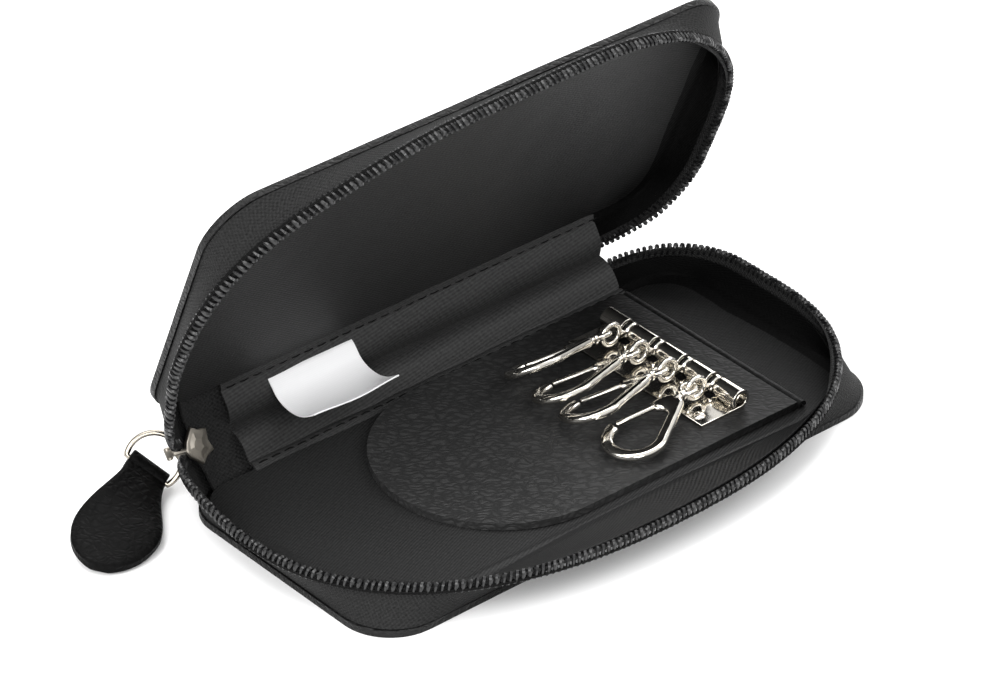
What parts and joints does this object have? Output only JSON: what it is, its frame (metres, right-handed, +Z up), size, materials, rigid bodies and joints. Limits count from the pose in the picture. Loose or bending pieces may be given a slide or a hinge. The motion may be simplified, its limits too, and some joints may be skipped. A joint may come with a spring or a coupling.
{
  "type": "zip-around key case",
  "caption": "Zip-around leather key case standing open: folding spine, coil zip with slider and leather pull, woven label, and a leather tongue carrying a rail of swivelling snap clips.",
  "frame": {"origin": "middle of the base panel's outer face, on the surface the case rests on", "axes": "+X along the spine towards the key rail's end of the case, -X to the zip pull; +Y from the front edge to the spine; +Z up"},
  "size_m": [0.1543, 0.0835, 0.0782],
  "materials": {
    "leather": "black pebbled grain, satin",
    "lining_cloth": "black twill lining, slight sheen",
    "card": "plain stiffener",
    "zip_tape": "black woven polyester tape",
    "zip_coil": "black nylon coil, satin",
    "label_satin": "white satin",
    "nickel_plate": "bright nickel plate"
  },
  "bodies": {
    "base": {"base_cover": "leather", "base_board": "card", "base_lining": "lining_cloth", "base_side_lining": "lining_cloth", "base_tape": "zip_tape", "base_teeth": "zip_coil", "base_corner": "zip_tape", "base_corner_teeth": "zip_coil", "tongue_welt": "leather"},
    "lid": {"lid_cover": "leather", "lid_board": "card", "lid_lining": "lining_cloth", "lid_side_lining": "lining_cloth", "lid_tape": "zip_tape", "lid_teeth": "zip_coil", "lid_corner": "zip_tape", "lid_corner_teeth": "zip_coil"},
    "spine": {"spine_cover": "leather", "spine_folds": "leather", "spine_lining": "lining_cloth", "label": "label_satin", "closed_chain": "zip_coil", "chain_cord": "zip_tape"},
    "slider": {"slider": "nickel_plate"},
    "pull_ring": {"pull_ring": "nickel_plate"},
    "pull": {"leather_pull": "leather", "pull_loop": "leather"},
    "tongue": {"tongue": "leather", "rail_plate": "nickel_plate", "rail_barrels": "nickel_plate", "rail_rod": "nickel_plate", "rail_rivets": "nickel_plate"},
    "link_1": {"link_1": "nickel_plate"},
    "clip_1": {"clip_1": "nickel_plate"},
    "gate_1": {"gate_1": "nickel_plate"},
    "link_2": {"link_2": "nickel_plate"},
    "clip_2": {"clip_2": "nickel_plate"},
    "gate_2": {"gate_2": "nickel_plate"},
    "link_3": {"link_3": "nickel_plate"},
    "clip_3": {"clip_3": "nickel_plate"},
    "gate_3": {"gate_3": "nickel_plate"},
    "link_4": {"link_4": "nickel_plate"},
    "clip_4": {"clip_4": "nickel_plate"},
    "gate_4": {"gate_4": "nickel_plate"}
  },
  "joints": [
    {"name": "base_fold", "type": "hinge", "parent": "base", "child": "spine", "pos_m": [0, 0.0305, 0.0013], "axis": [-1, 0, 0], "range_deg": [-33.6, 56.3], "deforming": ["base_corner", "base_corner_teeth"]},
    {"name": "lid_fold", "type": "hinge", "parent": "spine", "child": "lid", "pos_m": [0, 0.03892, 0.01395], "axis": [-1, 0, 0], "range_deg": [-33.6, 56.3], "deforming": ["lid_corner", "lid_corner_teeth", "label"]},
    {"name": "tongue_lift", "type": "hinge", "parent": "base", "child": "tongue", "pos_m": [0.04431, 0.00061, 0.0043], "axis": [0, 1, 0], "range_deg": [0, 30]},
    {"name": "slider_run", "type": "hinge", "parent": "spine", "child": "slider", "pos_m": [-0.0488, 0.02107, 0.01671], "axis": [0, 0.5541, 0.8324], "range_deg": [0, 45], "deforming": ["closed_chain", "chain_cord"]},
    {"name": "ring_swing", "type": "hinge", "parent": "slider", "child": "pull_ring", "pos_m": [-0.05708, 0.0352, 0.0073], "axis": [0, 0.5541, 0.8324], "range_deg": [-35, 35]},
    {"name": "pull_swing", "type": "hinge", "parent": "pull_ring", "child": "pull", "pos_m": [-0.06305, 0.03768, 0.00428], "axis": [-0.4494, 0.7037, 0.5503], "range_deg": [-10, 45]},
    {"name": "link_1_swing", "type": "hinge", "parent": "tongue", "child": "link_1", "pos_m": [0.03453, 0.01169, 0.0064], "axis": [0, 1, 0], "range_deg": [0, 110]},
    {"name": "link_2_swing", "type": "hinge", "parent": "tongue", "child": "link_2", "pos_m": [0.03453, 0.00361, 0.0064], "axis": [0, 1, 0], "range_deg": [0, 110]},
    {"name": "link_3_swing", "type": "hinge", "parent": "tongue", "child": "link_3", "pos_m": [0.03453, -0.00447, 0.0064], "axis": [0, 1, 0], "range_deg": [0, 110]},
    {"name": "link_4_swing", "type": "hinge", "parent": "tongue", "child": "link_4", "pos_m": [0.03453, -0.01255, 0.0064], "axis": [0, 1, 0], "range_deg": [0, 110]},
    {"name": "clip_1_tip", "type": "hinge", "parent": "link_1", "child": "clip_1", "pos_m": [0.02712, 0.01169, 0.00867], "axis": [0, 1, 0], "range_deg": [0, 12]},
    {"name": "clip_2_tip", "type": "hinge", "parent": "link_2", "child": "clip_2", "pos_m": [0.02712, 0.00361, 0.00867], "axis": [0, 1, 0], "range_deg": [0, 12]},
    {"name": "clip_3_tip", "type": "hinge", "parent": "link_3", "child": "clip_3", "pos_m": [0.02712, -0.00447, 0.00867], "axis": [0, 1, 0], "range_deg": [0, 12]},
    {"name": "clip_4_tip", "type": "hinge", "parent": "link_4", "child": "clip_4", "pos_m": [0.02712, -0.01255, 0.00867], "axis": [0, 1, 0], "range_deg": [0, 12]},
    {"name": "gate_1_open", "type": "hinge", "parent": "clip_1", "child": "gate_1", "pos_m": [0.02053, 0.01326, 0.00784], "axis": [0.0289, 0.5592, 0.8285], "range_deg": [0, 20], "stiffness_Nm_per_rad": 0.002, "springref_deg": -5.73},
    {"name": "gate_2_open", "type": "hinge", "parent": "clip_2", "child": "gate_2", "pos_m": [0.0206, 0.00532, 0.00758], "axis": [-0.0395, 0.4226, 0.9054], "range_deg": [0, 20], "stiffness_Nm_per_rad": 0.002, "springref_deg": -5.73},
    {"name": "gate_3_open", "type": "hinge", "parent": "clip_3", "child": "gate_3", "pos_m": [0.0206, -0.00272, 0.00762], "axis": [-0.0485, 0.3746, 0.9259], "range_deg": [0, 20], "stiffness_Nm_per_rad": 0.002, "springref_deg": -5.73},
    {"name": "gate_4_open", "type": "hinge", "parent": "clip_4", "child": "gate_4", "pos_m": [0.02037, -0.01206, 0.00777], "axis": [-0.1299, 0.0259, 0.9912], "range_deg": [0, 20], "stiffness_Nm_per_rad": 0.002, "springref_deg": -5.73}
  ],
  "couplings": [
    {"joint": "link_2_swing", "follows": "link_1_swing", "ratio": 1},
    {"joint": "link_3_swing", "follows": "link_1_swing", "ratio": 1},
    {"joint": "link_4_swing", "follows": "link_1_swing", "ratio": 1},
    {"joint": "clip_2_tip", "follows": "clip_1_tip", "ratio": 1},
    {"joint": "clip_3_tip", "follows": "clip_1_tip", "ratio": 1},
    {"joint": "clip_4_tip", "follows": "clip_1_tip", "ratio": 1}
  ]
}
